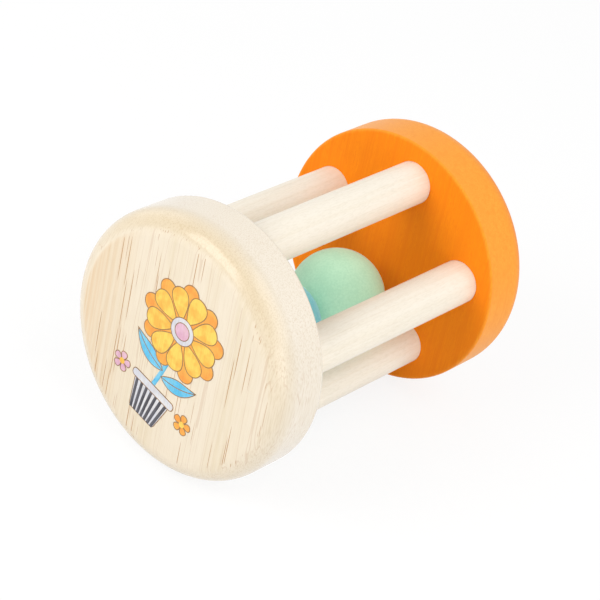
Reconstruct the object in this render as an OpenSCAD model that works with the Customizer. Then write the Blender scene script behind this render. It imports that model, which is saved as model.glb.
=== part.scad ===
// Baby's rolling rattle: two round wooden end discs joined by five round bars, which make
// an open cage with two loose wooden balls inside. The toy lies on its side, as it rolls.
// X runs along the cage from the natural disc to the orange one, and Z is up. The origin is
// the middle of the toy, on the axis that it rolls about.

/* [End discs] */
// Diameter of both end discs
disc_d = 60; // [56:0.5:68]
// Thickness of both end discs
disc_t = 14; // [12:0.5:20]
// Radius of the turned round-over on each disc's outer edge
edge_r = 5; // [2:0.25:6]
// Radius of the natural disc's inner edge, which is softened by sanding
natural_inner_r = 1; // [0.3:0.1:2]
// Radius of the orange disc's inner edge, which is nearly crisp
orange_inner_r = 0.5; // [0.3:0.1:2]

/* [Cage] */
// Clear length between the two discs
cage_len = 57; // [56:0.5:90]
// Diameter of each bar
bar_d = 10; // [8:0.25:11]
// Wood between the outside of each bar and the discs' edge
rim_margin = 4.2; // [3:0.1:6]

/* [Glued joints] */
// Depth of the blind hole that each end of a bar is glued into
hole_depth = 9; // [5:0.5:10]
// Gap for the glue round each bar in its hole
glue_gap = 0.05; // [0.02:0.01:0.1]
// Chamfer on each end of a bar, which leaves a ring of room for the glue
bar_chamfer = 0.8; // [0.3:0.1:1.5]

/* [Loose balls] */
// Diameter of both balls
ball_d = 22; // [20:0.25:24]
// Play between a ball and the two bars that it lies on
ball_play = 0.15; // [0.1:0.01:0.3]
// Distance from the mint ball to the orange disc, as the balls lie at rest
mint_rest = 4; // [0.5:0.1:5]
// Distance from the mint ball to the blue ball, as they lie at rest
ball_gap = 0.1; // [0.1:0.05:3]

/* [Hidden] */

$fn = 96;

// Bar 1 is on top, and the others follow at equal angles, so that two bars are level at the
// bottom and the balls lie in the groove between them.
bar_count = 5;
bar_step = 360 / bar_count;
bar_axis_r = (disc_d - bar_d) / 2 - rim_margin;

// The discs' inner faces are half the clear length from the middle.
inner_x = cage_len / 2;

// Each bar reaches from the bottom of one blind hole to the bottom of the other.
bar_len = cage_len + 2 * hole_depth;

// A ball touches, but for its play, the two bars beside the groove: the bars' axes are
// groove_y to each side of it and groove_z below the middle.
groove_y = bar_axis_r * sin(bar_step / 2);
groove_z = bar_axis_r * cos(bar_step / 2);
touch = (ball_d + bar_d) / 2 + ball_play;
ball_z = sqrt(touch * touch - groove_y * groove_y) - groove_z;

mint_x = inner_x - mint_rest - ball_d / 2;
blue_x = mint_x - ball_d - ball_gap;

// Half of a disc's section: the inner face is on the X axis, and both edges are round.
module disc_section(inner_r) {
    square([disc_d / 2 - edge_r, disc_t]);
    square([disc_d / 2 - inner_r, disc_t - edge_r]);
    translate([0, inner_r])
        square([disc_d / 2, disc_t - edge_r - inner_r]);
    translate([disc_d / 2 - edge_r, disc_t - edge_r])
        circle(r = edge_r);
    translate([disc_d / 2 - inner_r, inner_r])
        circle(r = inner_r);
}

// Puts a child that stands along Z from the origin on a bar's axis, pointing along X.
module on_bar_axis(number) {
    rotate([bar_step * (number - 1), 0, 0])
        translate([0, 0, bar_axis_r])
            rotate([0, 90, 0])
                children();
}

// The end disc on the +X side, with its blind holes drilled from the inner face.
module end_disc(inner_r) {
    difference() {
        translate([inner_x, 0, 0])
            rotate([0, 90, 0])
                rotate_extrude()
                    disc_section(inner_r);
        for (number = [1 : bar_count])
            on_bar_axis(number)
                cylinder(d = bar_d + 2 * glue_gap, h = inner_x + hole_depth);
    }
}

module natural_disc() {
    color("#f3e4cc")
        mirror([1, 0, 0])
            end_disc(natural_inner_r);
}

module orange_disc() {
    color("#fa9a2e")
        end_disc(orange_inner_r);
}

// One bar, cut to length and chamfered at both ends.
module bar(number) {
    color("#f7ead4")
        on_bar_axis(number)
            translate([0, 0, -bar_len / 2]) {
                cylinder(d1 = bar_d - 2 * bar_chamfer, d2 = bar_d, h = bar_chamfer);
                translate([0, 0, bar_chamfer])
                    cylinder(d = bar_d, h = bar_len - 2 * bar_chamfer);
                translate([0, 0, bar_len - bar_chamfer])
                    cylinder(d1 = bar_d, d2 = bar_d - 2 * bar_chamfer, h = bar_chamfer);
            }
}

module ball(x) {
    translate([x, 0, ball_z])
        sphere(d = ball_d);
}

module mint_ball() {
    color("#b5dfbd")
        ball(mint_x);
}

module blue_ball() {
    color("#6fc3e8")
        ball(blue_x);
}

natural_disc();
orange_disc();
for (number = [1 : bar_count])
    bar(number);
mint_ball();
blue_ball();
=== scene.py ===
"""The looks of a baby's rolling rattle: turned wooden end discs, pale bars and two painted balls.

Lengths are written in millimetres and turned to metres by MM, except where a name says otherwise.
X runs along the cage from the natural disc to the orange one, and Z is up.
"""

import math

import bmesh
import bpy
from mathutils import Matrix, Vector


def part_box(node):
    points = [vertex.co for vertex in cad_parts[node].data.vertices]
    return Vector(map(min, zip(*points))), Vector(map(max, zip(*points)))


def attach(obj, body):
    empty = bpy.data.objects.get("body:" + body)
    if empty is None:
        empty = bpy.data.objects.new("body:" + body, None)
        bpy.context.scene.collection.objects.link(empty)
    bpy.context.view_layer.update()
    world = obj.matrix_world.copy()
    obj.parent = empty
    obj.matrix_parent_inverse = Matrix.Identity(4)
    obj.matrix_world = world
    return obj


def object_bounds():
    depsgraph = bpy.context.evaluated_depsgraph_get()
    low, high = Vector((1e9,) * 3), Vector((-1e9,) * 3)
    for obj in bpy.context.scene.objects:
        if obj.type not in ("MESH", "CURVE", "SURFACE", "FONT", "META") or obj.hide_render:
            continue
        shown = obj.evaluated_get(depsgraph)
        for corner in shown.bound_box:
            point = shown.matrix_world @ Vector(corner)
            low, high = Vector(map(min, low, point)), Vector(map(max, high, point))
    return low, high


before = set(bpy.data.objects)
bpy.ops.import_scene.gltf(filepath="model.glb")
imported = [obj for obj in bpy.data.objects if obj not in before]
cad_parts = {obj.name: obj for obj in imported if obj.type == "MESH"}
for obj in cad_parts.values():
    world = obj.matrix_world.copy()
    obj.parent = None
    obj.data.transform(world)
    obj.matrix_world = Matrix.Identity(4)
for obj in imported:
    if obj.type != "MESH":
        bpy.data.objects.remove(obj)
cad_low, cad_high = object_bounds()

MM = 0.001

# Where the camera stands and what it looks at, found from the discs' outlines in the photograph.
CAMERA_AT = (-334.6, -207.1, 274.7)
CAMERA_TOWARDS = (-1.24, -0.26, -1.64)
CAMERA_ROLL = 18.64
SENSOR = 36
LENS = 130.4
NEAREST_SEEN = 10


def linear(hex_colour):
    """The linear colour of an sRGB hex value by that standard's own curve, with an alpha of 1."""
    shares = [int(hex_colour[i : i + 2], 16) / 255 for i in (1, 3, 5)]
    return [s / 12.92 if s <= 0.04045 else ((s + 0.055) / 1.055) ** 2.4 for s in shares] + [1]


def add_node(tree, kind, settings=None, feeds=None):
    """Adds a node with its settings, and feeds its inputs with values or other nodes' outputs."""
    node = tree.nodes.new(kind)
    for name, value in (settings or {}).items():
        setattr(node, name, value)
    for key, value in (feeds or {}).items():
        if isinstance(value, bpy.types.NodeSocket):
            tree.links.new(value, node.inputs[key])
        else:
            node.inputs[key].default_value = value
    return node


# Which sockets of a Mix node carry its colours.
MIX_UNDER = 6
MIX_OVER = 7
MIX_RESULT = 2


def new_material(name):
    """An empty node material and its tree."""
    material = bpy.data.materials.new(name)
    material.use_nodes = True
    material.node_tree.nodes.clear()
    return material, material.node_tree


# Camera


def place_camera():
    """The photograph's view: a long lens from above the natural disc's side, with the picture turned."""
    data = bpy.data.cameras.new("photo_camera")
    data.sensor_width = SENSOR
    data.lens = LENS
    data.clip_start = NEAREST_SEEN * MM
    camera = bpy.data.objects.new("photo_camera", data)
    bpy.context.scene.collection.objects.link(camera)
    at = Vector(CAMERA_AT) * MM
    towards = Vector(CAMERA_TOWARDS) * MM
    turn = (towards - at).to_track_quat("-Z", "Y").to_matrix().to_4x4()
    roll = Matrix.Rotation(math.radians(CAMERA_ROLL), 4, "Z")
    camera.matrix_world = Matrix.Translation(at) @ turn @ roll
    bpy.context.scene.camera = camera


# Light, floor and background

# The sky's strength as light, and the strength at which the sky or the floor looks white.
SKY_STRENGTH = 0.5
WHITE_STRENGTH = 1.0
# Each softbox: the way that it stands from the toy, its width and its watts.
SOFTBOXES = {
    "key_softbox": ((-0.79, 0.31, 0.53), 380, 1.95),
    "top_softbox": ((0.15, -0.6, 0.75), 600, 1.7),
    "side_softbox": ((-0.3, -0.75, 0.05), 420, 1.1),
    "far_softbox": ((-0.1, 0.9, 0.35), 420, 0.5),
}
SOFTBOX_DISTANCE = 600
FLOOR_WIDTH = 6000
FLOOR_COLOUR = "#e6e6e6"
WHITE = "#ffffff"
# How much of the floor's look is plain white glow. The rest is lit, and so shows the shadow.
FLOOR_GLOW = 0.84


def seen_directly(tree):
    """1 for the camera, reflections and what is seen through glass, and 0 for the light itself."""
    path = add_node(tree, "ShaderNodeLightPath")
    seen = add_node(tree, "ShaderNodeMath", {"operation": "MAXIMUM"},
                    {0: path.outputs["Is Camera Ray"], 1: path.outputs["Is Glossy Ray"]})
    seen = add_node(tree, "ShaderNodeMath", {"operation": "MAXIMUM"},
                    {0: seen.outputs[0], 1: path.outputs["Is Transmission Ray"]})
    return seen.outputs[0]


def light_sky():
    """Even studio light from all round, which the camera and reflections see as plain white."""
    world = bpy.data.worlds.new("studio")
    bpy.context.scene.world = world
    world.use_nodes = True
    tree = world.node_tree
    tree.nodes.clear()
    strength = add_node(tree, "ShaderNodeMapRange", None,
                        {"Value": seen_directly(tree), "To Min": SKY_STRENGTH,
                         "To Max": WHITE_STRENGTH})
    sky = add_node(tree, "ShaderNodeBackground", None,
                   {"Color": linear(WHITE), "Strength": strength.outputs[0]})
    add_node(tree, "ShaderNodeOutputWorld", None, {"Surface": sky.outputs[0]})


def add_softbox(name, way, size, watts):
    """A square softbox that points at the middle of the toy."""
    data = bpy.data.lights.new(name, "AREA")
    data.size = size * MM
    data.energy = watts
    lamp = bpy.data.objects.new(name, data)
    bpy.context.scene.collection.objects.link(lamp)
    place = Vector(way).normalized() * SOFTBOX_DISTANCE * MM
    turn = (-place).to_track_quat("-Z", "Y").to_matrix().to_4x4()
    lamp.matrix_world = Matrix.Translation(place) @ turn


def lay_floor():
    """A plain pale floor that looks white where nothing shades it, and keeps the toy's shadow."""
    mesh = bpy.data.meshes.new("floor")
    half = FLOOR_WIDTH / 2 * MM
    level = cad_low.z
    corners = [(-half, -half, level), (half, -half, level), (half, half, level), (-half, half, level)]
    mesh.from_pydata(corners, [], [(0, 1, 2, 3)])
    floor = bpy.data.objects.new("floor", mesh)
    bpy.context.scene.collection.objects.link(floor)
    material, tree = new_material("pale_floor")
    share = add_node(tree, "ShaderNodeMath", {"operation": "MULTIPLY"},
                     {0: seen_directly(tree), 1: FLOOR_GLOW})
    tone = add_node(tree, "ShaderNodeMix", {"data_type": "RGBA"},
                    {0: seen_directly(tree), MIX_UNDER: linear(FLOOR_COLOUR),
                     MIX_OVER: linear(WHITE)})
    paint = add_node(tree, "ShaderNodeBsdfDiffuse", None, {"Color": tone.outputs[MIX_RESULT]})
    glow = add_node(tree, "ShaderNodeEmission", None, {"Color": linear(WHITE), "Strength": WHITE_STRENGTH})
    both = add_node(tree, "ShaderNodeMixShader", None,
                    {0: share.outputs[0], 1: paint.outputs[0], 2: glow.outputs[0]})
    add_node(tree, "ShaderNodeOutputMaterial", None, {"Surface": both.outputs[0]})
    mesh.materials.append(material)


# Rubberwood

# The turns that bring each piece's grain upright: the discs' boards lean a little, the bars lie along X.
DISC_TURN = (math.radians(6), 0, 0)
BAR_TURN = (0, math.radians(-90), 0)

# Layers of the wood, from noise drawn out along the grain: how wide each is, how long, and how broken up.
# The values of such noise lie mostly between 0.35 and 0.65, which the ranges in the materials go by.
WOOD_LAYERS = {
    "bands": (7.0, 160.0, 1.0),
    "streaks": (0.9, 70.0, 1.0),
    "fibres": (0.25, 5.0, 1.0),
    "flecks": (0.3, 1.3, 1.0),
    "seasons": (2.2, 110.0, 1.0),
    "crowding": (4.0, 60.0, 1.0),
}
# Where the deeper wood towards the tree's heart starts across the board, and where it is at its deepest.
HEART_SIDE = (10, 27)
# The thin season lines: the value of the noise that they follow, and how far to each side they reach.
SEASON_LINE = (0.5, 0.010)
# Where the yellower tone of the natural disc's round-over ends on the rim, and where it is full, along X.
THIRST_FADE = (-36, -41)
# Where that tone is at its faintest, near the bottom of the disc, and where it is full, along Z. This
# fading is painted light from the floor below: the lower round-over is left paler.
PAINTED_FILL_RISE = (-6, 24)
# Where the orange disc's face turns paler towards its sanded edge, from the axis outwards.
RUBBED_EDGE = (29.0, 30.5)
# The directions that count for that distance, of X, Y and Z.
ACROSS_AXIS = (0, 1, 1)
# How squarely wood has to face along the axis, from where each look starts to where it is full: the natural
# face's own, its heart tone, which stops short of the round-over, and the orange face's deeper stain.
FACE_TURN = (0.88, 0.995)
HEART_TURN = (0.96, 0.999)
STAIN_TURN = (0.0, 0.5)
# How wide a cloud of the printed washes is, and a cloud and a grain of the balls' paint.
INK_CLOUD = 2.6
PAINT_CLOUD = 3.5
PAINT_GRAIN = 0.5
# How much of the mottling of the paint is grain. The rest is cloud.
GRAIN_SHARE = 0.6
# How far the wood's fibres and the paint's grain stand up, and how strongly that shows.
FIBRE_RELIEF = 0.02
PAINT_RELIEF = 0.03
RELIEF_STRENGTH = 0.3
# How much of the pores' depth of colour shows through the orange stain, and through the printed ink.
PORES_IN_STAIN = 0.8
PORES_IN_INK = 0.35
# The open pores, cut lengthwise: the cell of wood that holds one (across, along), the most of it that a
# pore reaches, and how wide its soft edge is.
PORE_CELL = (0.34, 20.0)
PORE_MOST = 0.36
PORE_EDGE = 0.07


def wood_pattern(tree, turn):
    """The layers of rubberwood's figure, each from 0 to 1, in the piece's own millimetres."""
    place = add_node(tree, "ShaderNodeTexCoord")
    grain = add_node(tree, "ShaderNodeMapping", None,
                     {"Vector": place.outputs["Object"], "Rotation": turn, "Scale": [1 / MM] * 3})
    noises = {}
    for name, (across, along, detail) in WOOD_LAYERS.items():
        drawn = add_node(tree, "ShaderNodeVectorMath", {"operation": "DIVIDE"},
                         {0: grain.outputs[0], 1: (across, across, along)})
        noise = add_node(tree, "ShaderNodeTexNoise", None,
                         {"Vector": drawn.outputs[0], "Scale": 1.0, "Detail": detail})
        noises[name] = noise.outputs[0]
    layers = {name: noises[name] for name in ("bands", "streaks", "fibres", "flecks")}

    across = add_node(tree, "ShaderNodeSeparateXYZ", None, {0: grain.outputs[0]})
    heart = add_node(tree, "ShaderNodeMapRange", {"interpolation_type": "SMOOTHSTEP"},
                     {"Value": across.outputs[1], "From Min": HEART_SIDE[0], "From Max": HEART_SIDE[1]})
    uneven = add_node(tree, "ShaderNodeMapRange", None,
                      {"Value": noises["streaks"], "From Min": 0.35, "From Max": 0.62, "To Min": 0.4})
    heart = add_node(tree, "ShaderNodeMath", {"operation": "MULTIPLY"},
                     {0: heart.outputs[0], 1: uneven.outputs[0]})
    layers["heart"] = heart.outputs[0]

    upright = add_node(tree, "ShaderNodeVectorRotate", {"rotation_type": "EULER_XYZ"},
                       {"Vector": place.outputs["Normal"], "Rotation": turn})
    facing = add_node(tree, "ShaderNodeSeparateXYZ", None, {0: upright.outputs[0]})
    ends = add_node(tree, "ShaderNodeMath", {"operation": "ABSOLUTE"}, {0: facing.outputs[2]})
    sides = add_node(tree, "ShaderNodeMapRange", {"interpolation_type": "SMOOTHSTEP"},
                     {"Value": ends.outputs[0], "From Min": 0.75, "From Max": 0.2})
    layers["sides"] = sides.outputs[0]

    season = add_node(tree, "ShaderNodeMath", {"operation": "COMPARE"},
                      {0: noises["seasons"], 1: SEASON_LINE[0], 2: SEASON_LINE[1]})
    flat_sawn = add_node(tree, "ShaderNodeMapRange", None,
                         {"Value": sides.outputs[0], "From Min": 0.8, "From Max": 1.0})
    season = add_node(tree, "ShaderNodeMath", {"operation": "MULTIPLY"},
                      {0: season.outputs[0], 1: flat_sawn.outputs[0]})
    layers["seasons"] = season.outputs[0]

    drawn = add_node(tree, "ShaderNodeVectorMath", {"operation": "DIVIDE"},
                     {0: grain.outputs[0], 1: (PORE_CELL[0], PORE_CELL[0], PORE_CELL[1])})
    cells = add_node(tree, "ShaderNodeTexVoronoi", None, {"Vector": drawn.outputs[0], "Scale": 1.0})
    luck = add_node(tree, "ShaderNodeSeparateColor", None, {0: cells.outputs["Color"]})
    crowd = add_node(tree, "ShaderNodeMapRange", None,
                     {"Value": noises["crowding"], "From Min": 0.42, "From Max": 0.60,
                      "To Min": 0.45, "To Max": 1.0})
    chance = add_node(tree, "ShaderNodeMath", {"operation": "MULTIPLY"},
                      {0: luck.outputs[0], 1: crowd.outputs[0]})
    reach = add_node(tree, "ShaderNodeMapRange", None,
                     {"Value": chance.outputs[0], "From Min": 0.30, "From Max": 0.8, "To Max": PORE_MOST})
    depth = add_node(tree, "ShaderNodeMath", {"operation": "SUBTRACT"},
                     {0: reach.outputs[0], 1: cells.outputs["Distance"]})
    pore = add_node(tree, "ShaderNodeMapRange", {"interpolation_type": "SMOOTHSTEP"},
                    {"Value": depth.outputs[0], "From Max": PORE_EDGE})
    layers["pores"] = pore.outputs[0]
    return layers


def facing_outward(tree, turn):
    """How far a surface faces along the cage's axis: 0 up to the turn's first share, 1 from its second."""
    place = add_node(tree, "ShaderNodeTexCoord")
    facing = add_node(tree, "ShaderNodeSeparateXYZ", None, {0: place.outputs["Normal"]})
    outward = add_node(tree, "ShaderNodeMath", {"operation": "ABSOLUTE"}, {0: facing.outputs[0]})
    share = add_node(tree, "ShaderNodeMapRange", {"interpolation_type": "SMOOTHSTEP"},
                     {"Value": outward.outputs[0], "From Min": turn[0], "From Max": turn[1]})
    return share.outputs[0]


def varnish(tree, layers, raised, colour, pore_colour, pore_share, line_share, coat):
    """The pores and season lines over a wood's colour, under a thin satin varnish that sinks into them."""
    pore = add_node(tree, "ShaderNodeMath", {"operation": "MULTIPLY"},
                    {0: layers["pores"], 1: pore_share})
    line = add_node(tree, "ShaderNodeMath", {"operation": "MULTIPLY"},
                    {0: layers["seasons"], 1: line_share})
    brown = add_node(tree, "ShaderNodeMath", {"operation": "MAXIMUM"},
                     {0: pore.outputs[0], 1: line.outputs[0]})
    colour = add_node(tree, "ShaderNodeMix", {"data_type": "RGBA"},
                      {0: brown.outputs[0], MIX_UNDER: colour, MIX_OVER: linear(pore_colour)})
    dents = add_node(tree, "ShaderNodeMath", {"operation": "SUBTRACT"},
                     {0: layers[raised], 1: layers["pores"]})
    bump = add_node(tree, "ShaderNodeBump", None,
                    {"Strength": RELIEF_STRENGTH, "Distance": FIBRE_RELIEF * MM,
                     "Height": dents.outputs[0]})
    shader = add_node(tree, "ShaderNodeBsdfPrincipled", None,
                      {"Base Color": colour.outputs[MIX_RESULT], "Roughness": 0.5,
                       "Specular IOR Level": 0.35, "Coat Weight": coat, "Coat Roughness": 0.18,
                       "Normal": bump.outputs[0]})
    add_node(tree, "ShaderNodeOutputMaterial", None, {"Surface": shader.outputs[0]})


def bar_wood():
    """Rubberwood bars, rounded and fine sanded under a thin satin varnish: an even, very pale straw, with
    short fine flecks along the bar that are only just there."""
    material, tree = new_material("sanded_bar_wood")
    layers = wood_pattern(tree, BAR_TURN)
    streak = add_node(tree, "ShaderNodeMapRange", None,
                      {"Value": layers["streaks"], "From Min": 0.42, "From Max": 0.66})
    colour = add_node(tree, "ShaderNodeMix", {"data_type": "RGBA"},
                      {0: streak.outputs[0], MIX_UNDER: linear("#f2eadb"), MIX_OVER: linear("#efe6d5")})
    speck = add_node(tree, "ShaderNodeMapRange", None,
                     {"Value": layers["flecks"], "From Min": 0.45, "From Max": 0.68, "To Max": 0.16})
    colour = add_node(tree, "ShaderNodeMix", {"data_type": "RGBA", "blend_type": "MULTIPLY"},
                      {0: speck.outputs[0], MIX_UNDER: colour.outputs[MIX_RESULT],
                       MIX_OVER: linear("#d9d3c6")})
    varnish(tree, layers, raised="flecks", colour=colour.outputs[MIX_RESULT],
            pore_colour="#d2bd9f", pore_share=0.18, line_share=0.08, coat=0.15)
    return material


def disc_wood():
    """The natural disc's rubberwood, turned and given a thin satin varnish: pale straw, with soft warm
    streaks and fine brown pores along the grain. The round-over is yellower, where the cut ends of the
    fibres drank more varnish, and there the pores are small dots. Towards the bottom of the disc that
    tone is weakened as painted light from the floor below, leaving the lower round-over paler."""
    material, tree = new_material("varnished_disc_wood")
    layers = wood_pattern(tree, DISC_TURN)
    on_face = facing_outward(tree, FACE_TURN)
    band = add_node(tree, "ShaderNodeMapRange", None,
                    {"Value": layers["bands"], "From Min": 0.42, "From Max": 0.62})
    streak = add_node(tree, "ShaderNodeMapRange", None,
                      {"Value": layers["streaks"], "From Min": 0.42, "From Max": 0.66, "To Min": 0.35})
    warm = add_node(tree, "ShaderNodeMath", {"operation": "MULTIPLY"},
                    {0: band.outputs[0], 1: streak.outputs[0]})
    lengthwise = add_node(tree, "ShaderNodeMapRange", None,
                          {"Value": on_face, "To Min": 0.3, "To Max": 1.0})
    warm = add_node(tree, "ShaderNodeMath", {"operation": "MULTIPLY"},
                    {0: warm.outputs[0], 1: lengthwise.outputs[0]})
    colour = add_node(tree, "ShaderNodeMix", {"data_type": "RGBA"},
                      {0: warm.outputs[0], MIX_UNDER: linear("#e6d9c3"), MIX_OVER: linear("#e0d1b5")})
    heart = add_node(tree, "ShaderNodeMath", {"operation": "MULTIPLY"},
                     {0: layers["heart"], 1: facing_outward(tree, HEART_TURN)})
    colour = add_node(tree, "ShaderNodeMix", {"data_type": "RGBA", "blend_type": "MULTIPLY"},
                      {0: heart.outputs[0], MIX_UNDER: colour.outputs[MIX_RESULT],
                       MIX_OVER: linear("#f5e3ca")})

    place = add_node(tree, "ShaderNodeTexCoord")
    along = add_node(tree, "ShaderNodeSeparateXYZ", None, {0: place.outputs["Object"]})
    from_rim = add_node(tree, "ShaderNodeMapRange", None,
                        {"Value": along.outputs[0], "From Min": THIRST_FADE[0] * MM,
                         "From Max": THIRST_FADE[1] * MM})
    off_rim = add_node(tree, "ShaderNodeMath", {"operation": "MAXIMUM"},
                       {0: on_face, 1: from_rim.outputs[0]})
    colour = add_node(tree, "ShaderNodeMix", {"data_type": "RGBA"},
                      {0: off_rim.outputs[0], MIX_UNDER: linear("#eae0d0"),
                       MIX_OVER: colour.outputs[MIX_RESULT]})
    off_face = add_node(tree, "ShaderNodeMath", {"operation": "SUBTRACT"}, {0: 1.0, 1: on_face})
    round_over = add_node(tree, "ShaderNodeMath", {"operation": "MULTIPLY"},
                          {0: off_face.outputs[0], 1: from_rim.outputs[0]})
    varnish_tone_and_painted_fill = add_node(tree, "ShaderNodeMapRange", None,
                      {"Value": layers["sides"], "To Min": 0.95, "To Max": 0.6})
    # Painted light from below: the yellower tone is weakened towards the bottom of the disc, so the lower
    # round-over is paler.
    painted_fill_fade = add_node(tree, "ShaderNodeMapRange", None,
                     {"Value": along.outputs[2], "From Min": PAINTED_FILL_RISE[0] * MM,
                      "From Max": PAINTED_FILL_RISE[1] * MM, "To Min": 0.1, "To Max": 1.0})
    varnish_tone_and_painted_fill = add_node(tree, "ShaderNodeMath", {"operation": "MULTIPLY"},
                      {0: varnish_tone_and_painted_fill.outputs[0], 1: painted_fill_fade.outputs[0]})
    varnish_tone_and_painted_fill = add_node(tree, "ShaderNodeMath", {"operation": "MULTIPLY"},
                      {0: varnish_tone_and_painted_fill.outputs[0], 1: round_over.outputs[0]})
    colour = add_node(tree, "ShaderNodeMix", {"data_type": "RGBA", "blend_type": "MULTIPLY"},
                      {0: varnish_tone_and_painted_fill.outputs[0], MIX_UNDER: colour.outputs[MIX_RESULT],
                       MIX_OVER: linear("#ede6d6")})
    most = add_node(tree, "ShaderNodeMapRange", None,
                    {"Value": off_face.outputs[0], "To Min": 0.12, "To Max": 0.3})
    speck = add_node(tree, "ShaderNodeMapRange", None,
                     {"Value": layers["fibres"], "From Min": 0.45, "From Max": 0.65,
                      "To Max": most.outputs[0]})
    colour = add_node(tree, "ShaderNodeMix", {"data_type": "RGBA", "blend_type": "MULTIPLY"},
                      {0: speck.outputs[0], MIX_UNDER: colour.outputs[MIX_RESULT],
                       MIX_OVER: linear("#ddd0b4")})
    pores = add_node(tree, "ShaderNodeMapRange", None, {"Value": on_face, "To Min": 0.22, "To Max": 0.85})
    varnish(tree, layers, raised="fibres", colour=colour.outputs[MIX_RESULT],
            pore_colour="#b07a42", pore_share=pores.outputs[0], line_share=0.2, coat=0.8)
    return material


def stained_wood():
    """The same wood under a bright water stain and no varnish: an even colour that stays matt, a little
    paler on the sanded rim and just inside the face's edge, with the grain as faint redder streaks and
    flecks. The fibres that the water raised catch a pale sheen where the eye looks along them."""
    material, tree = new_material("orange_stained_wood")
    layers = wood_pattern(tree, DISC_TURN)
    place = add_node(tree, "ShaderNodeTexCoord")
    across = add_node(tree, "ShaderNodeVectorMath", {"operation": "MULTIPLY"},
                      {0: place.outputs["Object"], 1: ACROSS_AXIS})
    radius = add_node(tree, "ShaderNodeVectorMath", {"operation": "LENGTH"}, {0: across.outputs[0]})
    inside = add_node(tree, "ShaderNodeMapRange", {"interpolation_type": "SMOOTHSTEP"},
                      {"Value": radius.outputs["Value"], "From Min": RUBBED_EDGE[1] * MM,
                       "From Max": RUBBED_EDGE[0] * MM})
    off_rim = add_node(tree, "ShaderNodeMath", {"operation": "MULTIPLY"},
                       {0: facing_outward(tree, STAIN_TURN), 1: inside.outputs[0]})
    colour = add_node(tree, "ShaderNodeMix", {"data_type": "RGBA"},
                      {0: off_rim.outputs[0], MIX_UNDER: linear("#fba73d"),
                       MIX_OVER: linear("#fb8e0b")})
    streaks = add_node(tree, "ShaderNodeMapRange", None,
                       {"Value": layers["streaks"], "From Min": 0.38, "From Max": 0.68, "To Max": 0.6})
    fibres = add_node(tree, "ShaderNodeMapRange", None,
                      {"Value": layers["fibres"], "From Min": 0.42, "From Max": 0.7, "To Max": 0.7})
    flecks = add_node(tree, "ShaderNodeMapRange", None,
                      {"Value": layers["flecks"], "From Min": 0.42, "From Max": 0.7, "To Max": 0.7})
    redder = add_node(tree, "ShaderNodeMath", {"operation": "MAXIMUM"},
                      {0: streaks.outputs[0], 1: fibres.outputs[0]})
    redder = add_node(tree, "ShaderNodeMath", {"operation": "MAXIMUM"},
                      {0: redder.outputs[0], 1: flecks.outputs[0]})
    pores = add_node(tree, "ShaderNodeMath", {"operation": "MULTIPLY"},
                     {0: layers["pores"], 1: PORES_IN_STAIN})
    redder = add_node(tree, "ShaderNodeMath", {"operation": "MAXIMUM"},
                      {0: redder.outputs[0], 1: pores.outputs[0]})
    colour = add_node(tree, "ShaderNodeMix", {"data_type": "RGBA", "blend_type": "MULTIPLY"},
                      {0: redder.outputs[0], MIX_UNDER: colour.outputs[MIX_RESULT],
                       MIX_OVER: linear("#f6ddc2")})
    bump = add_node(tree, "ShaderNodeBump", None,
                    {"Strength": RELIEF_STRENGTH, "Distance": FIBRE_RELIEF * MM,
                     "Height": layers["fibres"]})
    shader = add_node(tree, "ShaderNodeBsdfPrincipled", None,
                      {"Base Color": colour.outputs[MIX_RESULT], "Roughness": 0.6,
                       "Specular IOR Level": 0.06, "Sheen Weight": 0.45, "Sheen Roughness": 0.4,
                       "Sheen Tint": linear("#fff0dc"), "Normal": bump.outputs[0]})
    add_node(tree, "ShaderNodeOutputMaterial", None, {"Surface": shader.outputs[0]})
    return material


def painted_wood(name, pale, deep):
    """A turned wooden ball in two thin coats of matt water paint: the colour is finely mottled and clouds
    a little where the coat is thinner, and the surface has the raised grain that wet wood gets."""
    material, tree = new_material(name)
    place = add_node(tree, "ShaderNodeTexCoord")
    clouds = add_node(tree, "ShaderNodeTexNoise", None,
                      {"Vector": place.outputs["Object"], "Scale": 1 / (PAINT_CLOUD * MM), "Detail": 3.0})
    raised = add_node(tree, "ShaderNodeTexNoise", None,
                      {"Vector": place.outputs["Object"], "Scale": 1 / (PAINT_GRAIN * MM), "Detail": 2.0})
    mottled = add_node(tree, "ShaderNodeMix", {"data_type": "FLOAT"},
                       {0: GRAIN_SHARE, 2: clouds.outputs[0], 3: raised.outputs[0]})
    share = add_node(tree, "ShaderNodeMapRange", None,
                     {"Value": mottled.outputs[0], "From Min": 0.40, "From Max": 0.60})
    colour = add_node(tree, "ShaderNodeMix", {"data_type": "RGBA"},
                      {0: share.outputs[0], MIX_UNDER: linear(pale), MIX_OVER: linear(deep)})
    bump = add_node(tree, "ShaderNodeBump", None,
                    {"Strength": RELIEF_STRENGTH, "Distance": PAINT_RELIEF * MM,
                     "Height": raised.outputs[0]})
    shader = add_node(tree, "ShaderNodeBsdfPrincipled", None,
                      {"Base Color": colour.outputs[MIX_RESULT], "Roughness": 0.6,
                       "Specular IOR Level": 0.2, "Sheen Weight": 0.3, "Sheen Roughness": 0.5,
                       "Normal": bump.outputs[0]})
    add_node(tree, "ShaderNodeOutputMaterial", None, {"Surface": shader.outputs[0]})
    return material


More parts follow.
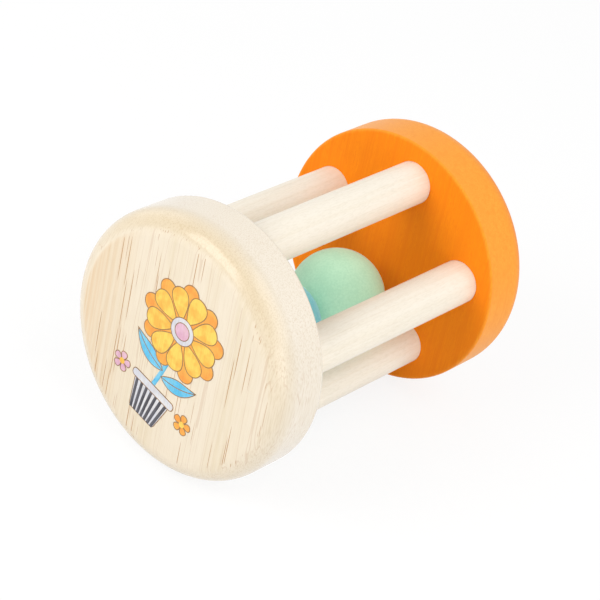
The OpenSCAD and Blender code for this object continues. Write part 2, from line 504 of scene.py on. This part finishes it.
def printed_ink(name, pale, deep):
    """Water-based ink, printed straight on the varnished wood: clouded like a wash of watercolour, and so
    thin that the pores and fibres under it show through."""
    material, tree = new_material(name)
    layers = wood_pattern(tree, DISC_TURN)
    place = add_node(tree, "ShaderNodeTexCoord")
    clouds = add_node(tree, "ShaderNodeTexNoise", None,
                      {"Vector": place.outputs["Object"], "Scale": 1 / (INK_CLOUD * MM), "Detail": 3.0})
    share = add_node(tree, "ShaderNodeMapRange", None,
                     {"Value": clouds.outputs[0], "From Min": 0.40, "From Max": 0.60})
    colour = add_node(tree, "ShaderNodeMix", {"data_type": "RGBA"},
                      {0: share.outputs[0], MIX_UNDER: linear(pale), MIX_OVER: linear(deep)})
    fibres = add_node(tree, "ShaderNodeMapRange", None,
                      {"Value": layers["fibres"], "From Min": 0.35, "From Max": 0.7, "To Max": 0.3})
    under = add_node(tree, "ShaderNodeMath", {"operation": "MULTIPLY"},
                     {0: layers["pores"], 1: PORES_IN_INK})
    under = add_node(tree, "ShaderNodeMath", {"operation": "MAXIMUM"},
                     {0: under.outputs[0], 1: fibres.outputs[0]})
    colour = add_node(tree, "ShaderNodeMix", {"data_type": "RGBA", "blend_type": "MULTIPLY"},
                      {0: under.outputs[0], MIX_UNDER: colour.outputs[MIX_RESULT],
                       MIX_OVER: linear("#e2cfae")})
    shader = add_node(tree, "ShaderNodeBsdfPrincipled", None,
                      {"Base Color": colour.outputs[MIX_RESULT], "Roughness": 0.5,
                       "Specular IOR Level": 0.35, "Coat Weight": 0.3, "Coat Roughness": 0.3})
    add_node(tree, "ShaderNodeOutputMaterial", None, {"Surface": shader.outputs[0]})
    return material


def finish_cad_nodes():
    """Gives every solid of the frame its finish."""
    bars = bar_wood()
    finishes = {
        "natural_disc": disc_wood(),
        "orange_disc": stained_wood(),
        "mint_ball": painted_wood("mint_paint", "#c8f5d5", "#bdeecd"),
        "blue_ball": painted_wood("blue_paint", "#84d5e0", "#70cbdb"),
    }
    for name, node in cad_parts.items():
        node.data.materials.clear()
        node.data.materials.append(finishes.get(name, bars))


# The print: a flower in a striped pot. Its sizes are in millimetres from the middle of the natural face,
# to the right and up as one looks at it, and its layers of ink rise towards the one who looks.

# How far the picture leans to the right, in degrees.
PRINT_LEAN = 8
# How far the first layer of ink stands in front of the wood, how much further each layer over it does,
# and how deep the ink has soaked in.
INK_RISE = 0.03
LAYER_RISE = 0.008
INK_DEPTH = 0.05
# The pen lines are the width of a fine drawing pen's.
PEN_WIDTH = 0.2

FLOWER_AT = (0.5, 6.6)
HEART_RADIUS = 2.0
COLLAR_RADIUS = 3.2
STEM = ((0.3, 3.6), (0.9, -3.0), (-0.6, -11.0))
STEM_WIDTH = 1.1
# Each leaf: where it leaves the stem, its tip, how far it bows, and its width.
LEAVES = (
    ((0.2, -5.6), (-9.6, -1.6), 1.6, 3.6),
    ((0.4, -7.2), (9.8, -3.4), -1.6, 3.6),
)
LEAF_STEPS = 16
# Below 1, a leaf is at its widest nearer to its stem than to its tip.
LEAF_BALANCE = 0.85
# The pot: its top and bottom edges, their widths, and how round its corners are.
POT_TOP = -12.2
POT_BOTTOM = -20.2
POT_WIDTHS = (10.8, 7.6)
POT_CORNER = 0.9
CORNER_STEPS = 6
# The pot's rim: its top and bottom edges, and its width.
POT_RIM = (-10.6, -12.6)
POT_RIM_WIDTH = 12.8
POT_STRIPES = 7
STRIPE_WIDTH = 0.75
BLOSSOMS = {"pink_blossom": (-9.8, -12.4), "orange_blossom": (9.9, -12.8)}
BLOSSOM_HEART = 0.75
# The petals' sizes, which the flowers' rings of them take.
BACK_PETALS = {"Petals": 9, "Ring Radius": 2.6, "Petal Length": 9.0, "Petal Width": 4.1,
               "Fullness": 0.27, "Turn": 0.35, "Unevenness": 0.06, "Seed": 3}
FRONT_PETALS = {"Petals": 9, "Ring Radius": 2.6, "Petal Length": 7.6, "Petal Width": 4.3,
                "Fullness": 0.27, "Turn": 0.0, "Unevenness": 0.05, "Seed": 8}
BLOSSOM_PETALS = {"Petals": 5, "Ring Radius": 0.5, "Petal Length": 2.0, "Petal Width": 1.7,
                  "Fullness": 0.15, "Turn": 0.3, "Unevenness": 0.05, "Seed": 5}
# How many corners a drawn circle and a petal have.
ROUND_POINTS = 40
PETAL_POINTS = 28
# Points of ink nearer to each other than this become one.
SAME_POINT = 0.001
# The share of a line's length over which it thins at each open end.
TAPER_REACH = 0.25
# How much each line thins: not at all, as a leaf's rib does, as a pot's stripe does, and as a stem does.
NO_TAPER = 0.0
RIB_TAPER = 0.6
STRIPE_TAPER = 0.3
STEM_TAPER = 0.2


def new_tree(name, inputs):
    """An empty Geometry Nodes tree that takes and gives a geometry, with the named inputs besides."""
    tree = bpy.data.node_groups.new(name, "GeometryNodeTree")
    tree.interface.new_socket("Geometry", in_out="INPUT", socket_type="NodeSocketGeometry")
    tree.interface.new_socket("Geometry", in_out="OUTPUT", socket_type="NodeSocketGeometry")
    for label, kind in inputs.items():
        tree.interface.new_socket(label, in_out="INPUT", socket_type="NodeSocket" + kind)
    return tree, add_node(tree, "NodeGroupInput").outputs


def end_tree(tree, geometry, material):
    """Ends a tree with real geometry in its material."""
    real = add_node(tree, "GeometryNodeRealizeInstances", None, {"Geometry": geometry})
    finished = add_node(tree, "GeometryNodeSetMaterial", None,
                        {"Geometry": real.outputs[0], "Material": material})
    add_node(tree, "NodeGroupOutput", None, {"Geometry": finished.outputs[0]})
    return tree


def petal_ring():
    """Flat petals round a centre, each a little uneven in size and place."""
    tree, given = new_tree("petal_ring", {
        "Petals": "Int", "Centre": "Vector", "Ring Radius": "Float", "Petal Length": "Float",
        "Petal Width": "Float", "Fullness": "Float", "Turn": "Float", "Unevenness": "Float",
        "Seed": "Int", "Material": "Material"})
    circle = add_node(tree, "GeometryNodeMeshCircle", {"fill_type": "NGON"},
                      {"Vertices": PETAL_POINTS, "Radius": 1.0})
    spot = add_node(tree, "GeometryNodeInputPosition")
    spot = add_node(tree, "ShaderNodeSeparateXYZ", None, {0: spot.outputs[0]})
    half = add_node(tree, "ShaderNodeMath", {"operation": "MULTIPLY"}, {0: given["Petal Length"], 1: 0.5})
    out = add_node(tree, "ShaderNodeMath", {"operation": "MULTIPLY_ADD"},
                   {0: spot.outputs[0], 1: half.outputs[0], 2: half.outputs[0]})
    swell = add_node(tree, "ShaderNodeMath", {"operation": "MULTIPLY_ADD"},
                     {0: spot.outputs[0], 1: given["Fullness"], 2: 0.5})
    side = add_node(tree, "ShaderNodeMath", {"operation": "MULTIPLY"},
                    {0: spot.outputs[1], 1: swell.outputs[0]})
    side = add_node(tree, "ShaderNodeMath", {"operation": "MULTIPLY"},
                    {0: side.outputs[0], 1: given["Petal Width"]})
    shape = add_node(tree, "ShaderNodeCombineXYZ", None, {0: out.outputs[0], 1: side.outputs[0]})
    petal = add_node(tree, "GeometryNodeSetPosition", None,
                     {"Geometry": circle.outputs[0], "Position": shape.outputs[0]})

    index = add_node(tree, "GeometryNodeInputIndex")
    drift = add_node(tree, "FunctionNodeRandomValue", {"data_type": "FLOAT"},
                     {2: -0.5, 3: 0.5, "Seed": given["Seed"]})
    drift = add_node(tree, "ShaderNodeMath", {"operation": "MULTIPLY_ADD"},
                     {0: drift.outputs[1], 1: given["Unevenness"], 2: index.outputs[0]})
    step = add_node(tree, "ShaderNodeMath", {"operation": "DIVIDE"}, {0: math.tau, 1: given["Petals"]})
    angle = add_node(tree, "ShaderNodeMath", {"operation": "MULTIPLY_ADD"},
                     {0: drift.outputs[0], 1: step.outputs[0], 2: given["Turn"]})
    turned = add_node(tree, "ShaderNodeCombineXYZ", None, {2: angle.outputs[0]})
    start = add_node(tree, "ShaderNodeCombineXYZ", None, {0: given["Ring Radius"]})
    start = add_node(tree, "ShaderNodeVectorRotate", {"rotation_type": "Z_AXIS"},
                     {"Vector": start.outputs[0], "Angle": angle.outputs[0]})
    start = add_node(tree, "ShaderNodeVectorMath", {"operation": "ADD"},
                     {0: start.outputs[0], 1: given["Centre"]})
    points = add_node(tree, "GeometryNodePoints", None,
                      {"Count": given["Petals"], "Position": start.outputs[0]})
    least = add_node(tree, "ShaderNodeMath", {"operation": "SUBTRACT"}, {0: 1.0, 1: given["Unevenness"]})
    growth = add_node(tree, "FunctionNodeRandomValue", {"data_type": "FLOAT"},
                      {2: least.outputs[0], 3: 1.0, "Seed": given["Seed"]})
    ring = add_node(tree, "GeometryNodeInstanceOnPoints", None,
                    {"Points": points.outputs[0], "Instance": petal.outputs[0],
                     "Rotation": turned.outputs[0], "Scale": growth.outputs[1]})
    return end_tree(tree, ring.outputs[0], given["Material"])


def pot_stripes():
    """The lines down a pot that narrows: one edge for each, from the top of the pot to its bottom."""
    tree, given = new_tree("pot_stripes", {
        "Stripes": "Int", "Top Middle": "Vector", "Top Width": "Float", "Bottom Width": "Float",
        "Height": "Float", "Material": "Material"})
    index = add_node(tree, "GeometryNodeInputIndex")
    share = add_node(tree, "ShaderNodeMath", {"operation": "ADD"}, {0: index.outputs[0], 1: 0.5})
    share = add_node(tree, "ShaderNodeMath", {"operation": "DIVIDE"},
                     {0: share.outputs[0], 1: given["Stripes"]})
    share = add_node(tree, "ShaderNodeMath", {"operation": "SUBTRACT"}, {0: share.outputs[0], 1: 0.5})
    side = add_node(tree, "ShaderNodeMath", {"operation": "MULTIPLY"},
                    {0: share.outputs[0], 1: given["Top Width"]})
    top = add_node(tree, "ShaderNodeCombineXYZ", None, {0: side.outputs[0]})
    top = add_node(tree, "ShaderNodeVectorMath", {"operation": "ADD"},
                   {0: top.outputs[0], 1: given["Top Middle"]})
    points = add_node(tree, "GeometryNodePoints", None,
                      {"Count": given["Stripes"], "Position": top.outputs[0]})
    dots = add_node(tree, "GeometryNodePointsToVertices", None, {"Points": points.outputs[0]})
    narrowing = add_node(tree, "ShaderNodeMath", {"operation": "SUBTRACT"},
                         {0: given["Bottom Width"], 1: given["Top Width"]})
    inward = add_node(tree, "ShaderNodeMath", {"operation": "MULTIPLY"},
                      {0: share.outputs[0], 1: narrowing.outputs[0]})
    down = add_node(tree, "ShaderNodeMath", {"operation": "MULTIPLY"}, {0: given["Height"], 1: -1.0})
    way = add_node(tree, "ShaderNodeCombineXYZ", None, {0: inward.outputs[0], 1: down.outputs[0]})
    lines = add_node(tree, "GeometryNodeExtrudeMesh", {"mode": "VERTICES"},
                     {"Mesh": dots.outputs[0], "Offset": way.outputs[0], "Offset Scale": 1.0})
    return end_tree(tree, lines.outputs[0], given["Material"])


def ink_wash():
    """Turns flat faces into a thin closed layer of ink, from in the wood to just in front of it."""
    tree, given = new_tree("ink_wash", {"Rise": "Float", "Depth": "Float", "Material": "Material"})
    sunk = add_node(tree, "ShaderNodeMath", {"operation": "MULTIPLY"}, {0: given["Depth"], 1: -1.0})
    sunk = add_node(tree, "ShaderNodeCombineXYZ", None, {2: sunk.outputs[0]})
    back = add_node(tree, "GeometryNodeSetPosition", None,
                    {"Geometry": given["Geometry"], "Offset": sunk.outputs[0]})
    thick = add_node(tree, "ShaderNodeMath", {"operation": "ADD"}, {0: given["Depth"], 1: given["Rise"]})
    forwards = add_node(tree, "ShaderNodeCombineXYZ", None, {2: thick.outputs[0]})
    front = add_node(tree, "GeometryNodeExtrudeMesh", {"mode": "FACES"},
                     {"Mesh": back.outputs[0], "Offset": forwards.outputs[0], "Offset Scale": 1.0,
                      "Individual": False})
    turned = add_node(tree, "GeometryNodeFlipFaces", None, {"Mesh": back.outputs[0]})
    both = add_node(tree, "GeometryNodeJoinGeometry", None, {"Geometry": front.outputs[0]})
    tree.links.new(turned.outputs[0], both.inputs["Geometry"])
    shut = add_node(tree, "GeometryNodeMergeByDistance", None,
                    {"Geometry": both.outputs[0], "Distance": SAME_POINT})
    return end_tree(tree, shut.outputs[0], given["Material"])


def ink_line():
    """Draws a line of ink along a mesh's bare edges and outlines, thinner towards its open ends."""
    tree, given = new_tree("ink_line", {"Line Width": "Float", "Rise": "Float", "Taper": "Float",
                                        "Material": "Material"})
    faces = add_node(tree, "GeometryNodeInputMeshEdgeNeighbors")
    bare = add_node(tree, "FunctionNodeCompare", {"data_type": "INT", "operation": "LESS_THAN"},
                    {2: faces.outputs[0], 3: 2})
    path = add_node(tree, "GeometryNodeMeshToCurve", None,
                    {"Mesh": given["Geometry"], "Selection": bare.outputs[0]})
    path = add_node(tree, "GeometryNodeSetCurveNormal", {"mode": "Z_UP"}, {"Curve": path.outputs[0]})
    along = add_node(tree, "GeometryNodeSplineParameter")
    left = add_node(tree, "ShaderNodeMath", {"operation": "SUBTRACT"}, {0: 1.0, 1: along.outputs["Factor"]})
    to_end = add_node(tree, "ShaderNodeMath", {"operation": "MINIMUM"},
                      {0: left.outputs[0], 1: along.outputs["Factor"]})
    thin = add_node(tree, "ShaderNodeMath", {"operation": "SUBTRACT"}, {0: 1.0, 1: given["Taper"]})
    size = add_node(tree, "ShaderNodeMapRange", None,
                    {"Value": to_end.outputs[0], "From Max": TAPER_REACH,
                     "To Min": thin.outputs[0], "To Max": 1.0})
    path = add_node(tree, "GeometryNodeSetCurveRadius", None,
                    {"Curve": path.outputs[0], "Radius": size.outputs[0]})
    thick = add_node(tree, "ShaderNodeMath", {"operation": "MULTIPLY"}, {0: given["Rise"], 1: 2.0})
    nib = add_node(tree, "GeometryNodeCurvePrimitiveQuadrilateral", None,
                   {"Width": given["Line Width"], "Height": thick.outputs[0]})
    ribbon = add_node(tree, "GeometryNodeCurveToMesh", None,
                      {"Curve": path.outputs[0], "Profile Curve": nib.outputs[0], "Fill Caps": True})
    return end_tree(tree, ribbon.outputs[0], given["Material"])


def print_place():
    """Brings the picture's millimetres onto the natural disc's outer face."""
    face = Matrix.Translation((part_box("natural_disc")[0].x, 0, 0))
    axes = Matrix(((0, 0, -1, 0), (-1, 0, 0, 0), (0, 1, 0, 0), (0, 0, 0, 1)))
    return face @ axes @ Matrix.Scale(MM, 4) @ Matrix.Rotation(math.radians(-PRINT_LEAN), 4, "Z")


def drawn(name, mesh, slot, steps):
    """Runs a flat drawing through Geometry Nodes, and lays the plain mesh that comes out on the face."""
    piece = bpy.data.objects.new(name, mesh)
    bpy.context.scene.collection.objects.link(piece)
    for tree, values in steps:
        modifier = piece.modifiers.new(tree.name, "NODES")
        modifier.node_group = tree
        for socket in tree.interface.items_tree:
            if socket.name in values:
                modifier[socket.identifier] = values[socket.name]
    evaluated = piece.evaluated_get(bpy.context.evaluated_depsgraph_get())
    result = bpy.data.meshes.new_from_object(evaluated)
    piece.modifiers.clear()
    piece.data = result
    shell = bmesh.new()
    shell.from_mesh(result)
    bmesh.ops.recalc_face_normals(shell, faces=shell.faces)
    shell.to_mesh(result)
    shell.free()
    result.transform(print_place())
    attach(piece, "cage")


def flat_shapes(name, outlines, corner=0.0):
    """A flat mesh with one face inside each outline, whose corners may be rounded."""
    flat = bmesh.new()
    for outline in outlines:
        flat.faces.new([flat.verts.new((across, up, 0)) for across, up in outline])
    if corner:
        bmesh.ops.bevel(flat, geom=flat.verts[:], offset=corner, segments=CORNER_STEPS,
                        profile=0.5, affect="VERTICES")
    bmesh.ops.recalc_face_normals(flat, faces=flat.faces)
    for face in flat.faces:
        if face.normal.z < 0:
            face.normal_flip()
    mesh = bpy.data.meshes.new(name)
    flat.to_mesh(mesh)
    flat.free()
    return mesh


def flat_paths(name, paths):
    """A mesh of bare edges along each path."""
    points = [(across, up, 0) for path in paths for across, up in path]
    edges = []
    first = 0
    for path in paths:
        edges += [(first + i, first + i + 1) for i in range(len(path) - 1)]
        first += len(path)
    mesh = bpy.data.meshes.new(name)
    mesh.from_pydata(points, edges, [])
    return mesh


def round_outline(centre, radius):
    """A circle's outline."""
    turns = [math.tau * i / ROUND_POINTS for i in range(ROUND_POINTS)]
    return [(centre[0] + radius * math.cos(turn), centre[1] + radius * math.sin(turn)) for turn in turns]


def bowed_path(start, bend, end):
    """A smooth path from start to end, drawn towards bend on its way."""
    shares = [i / LEAF_STEPS for i in range(LEAF_STEPS + 1)]
    return [tuple((1 - t) ** 2 * a + 2 * t * (1 - t) * b + t * t * c for a, b, c in zip(start, bend, end))
            for t in shares]


def leaf_rib(start, tip, bow):
    """The middle rib of a leaf, which bows to its left on the way to the tip."""
    way = Vector(tip) - Vector(start)
    bend = Vector(start) + way / 2 + Vector((-way.y, way.x)).normalized() * bow
    return bowed_path(start, bend, tip)


def leaf_outline(start, tip, bow, width):
    """A leaf's outline: its rib, widened to both sides and pointed at both ends."""
    rib = [Vector(point) for point in leaf_rib(start, tip, bow)]
    sides = ([], [])
    for i in range(1, LEAF_STEPS):
        way = (rib[i + 1] - rib[i - 1]).normalized()
        reach = width / 2 * math.sin(math.pi * (i / LEAF_STEPS) ** LEAF_BALANCE)
        sides[0].append(rib[i] + Vector((-way.y, way.x)) * reach)
        sides[1].append(rib[i] - Vector((-way.y, way.x)) * reach)
    return [tuple(point) for point in [rib[0], *sides[1], rib[-1], *reversed(sides[0])]]


def trapezium(top, bottom, top_width, bottom_width):
    """A pot's outline, upright about the middle line."""
    low, high = bottom_width / 2, top_width / 2
    return [(-low, bottom), (low, bottom), (high, top), (-high, top)]


def print_picture():
    """Prints the flower in its pot: each wash of ink, with the pen line round it one layer further out."""
    petals = petal_ring()
    stripes = pot_stripes()
    wash = ink_wash()
    line = ink_line()
    yellow = printed_ink("yellow_wash", "#f4d05a", "#efb443")
    orange = printed_ink("orange_wash", "#f09c3c", "#f0ae48")
    blue = printed_ink("sky_blue_wash", "#54bbe8", "#7bcaec")
    grey = printed_ink("pale_grey_wash", "#dcdde2", "#cfd1da")
    pink = printed_ink("pink_wash", "#e3bdd0", "#d8a8c2")
    charcoal = printed_ink("charcoal_ink", "#3f3f49", "#55555f")
    pen = printed_ink("brown_pen_ink", "#a27740", "#8d6c48")

    def wash_over(name, mesh, slot, ink, layer, *first):
        rise = INK_RISE + LAYER_RISE * layer
        drawn(name, mesh, slot, [*first, (wash, {"Rise": rise, "Depth": INK_DEPTH, "Material": ink})])

    def line_over(name, mesh, slot, ink, width, taper, layer, *first):
        rise = INK_RISE + LAYER_RISE * layer
        values = {"Line Width": width, "Rise": rise, "Taper": taper, "Material": ink}
        drawn(name, mesh, slot, [*first, (line, values)])

    def lined_wash(name, mesh, slot, ink, layer, *first):
        wash_over(name, mesh, slot, ink, layer, *first)
        line_over(name + "_outline", mesh, "print_charcoal", pen, PEN_WIDTH, NO_TAPER, layer + 1, *first)

    def lined_ring(name, slot, ink, layer, centre, sizes):
        ring = {**sizes, "Centre": (*centre, 0.0)}
        lined_wash(name, bpy.data.meshes.new(name), slot, ink, layer, (petals, ring))

    stem = flat_paths("stem", [bowed_path(*STEM)])
    line_over("stem", stem, "print_blue", blue, STEM_WIDTH, STEM_TAPER, 0)
    leaves = flat_shapes("leaves", [leaf_outline(*leaf) for leaf in LEAVES])
    lined_wash("leaves", leaves, "print_blue", blue, 1)
    ribs = flat_paths("leaf_ribs", [leaf_rib(*leaf[:3]) for leaf in LEAVES])
    line_over("leaf_ribs", ribs, "print_charcoal", pen, PEN_WIDTH, RIB_TAPER, 3)
    lined_ring("back_petals", "print_orange", orange, 4, FLOWER_AT, BACK_PETALS)
    lined_ring("front_petals", "print_yellow", yellow, 6, FLOWER_AT, FRONT_PETALS)
    collar = flat_shapes("collar", [round_outline(FLOWER_AT, COLLAR_RADIUS)])
    lined_wash("collar", collar, "print_grey", grey, 8)
    heart = flat_shapes("heart", [round_outline(FLOWER_AT, HEART_RADIUS)])
    lined_wash("heart", heart, "print_pink", pink, 9)

    pot = flat_shapes("pot", [trapezium(POT_TOP, POT_BOTTOM, *POT_WIDTHS)], POT_CORNER)
    lined_wash("pot", pot, "print_grey", grey, 0)
    down_the_pot = {"Stripes": POT_STRIPES, "Top Middle": (0.0, POT_TOP, 0.0), "Top Width": POT_WIDTHS[0],
                    "Bottom Width": POT_WIDTHS[1], "Height": POT_TOP - POT_BOTTOM}
    line_over("pot_stripes", bpy.data.meshes.new("pot_stripes"), "print_charcoal", charcoal,
              STRIPE_WIDTH, STRIPE_TAPER, 2, (stripes, down_the_pot))
    rim = flat_shapes("pot_rim", [trapezium(*POT_RIM, POT_RIM_WIDTH, POT_RIM_WIDTH)], POT_CORNER)
    lined_wash("pot_rim", rim, "print_grey", grey, 3)

    lined_ring("pink_blossom", "print_pink", pink, 0, BLOSSOMS["pink_blossom"], BLOSSOM_PETALS)
    lined_ring("orange_blossom", "print_orange", orange, 0, BLOSSOMS["orange_blossom"], BLOSSOM_PETALS)
    hearts = [round_outline(place, BLOSSOM_HEART) for place in BLOSSOMS.values()]
    wash_over("blossom_hearts", flat_shapes("blossom_hearts", hearts), "print_yellow", yellow, 2)


place_camera()
light_sky()
for name, (way, size, watts) in SOFTBOXES.items():
    add_softbox(name, way, size, watts)
lay_floor()
finish_cad_nodes()
print_picture()

bpy.context.scene.view_settings.view_transform = "Standard"
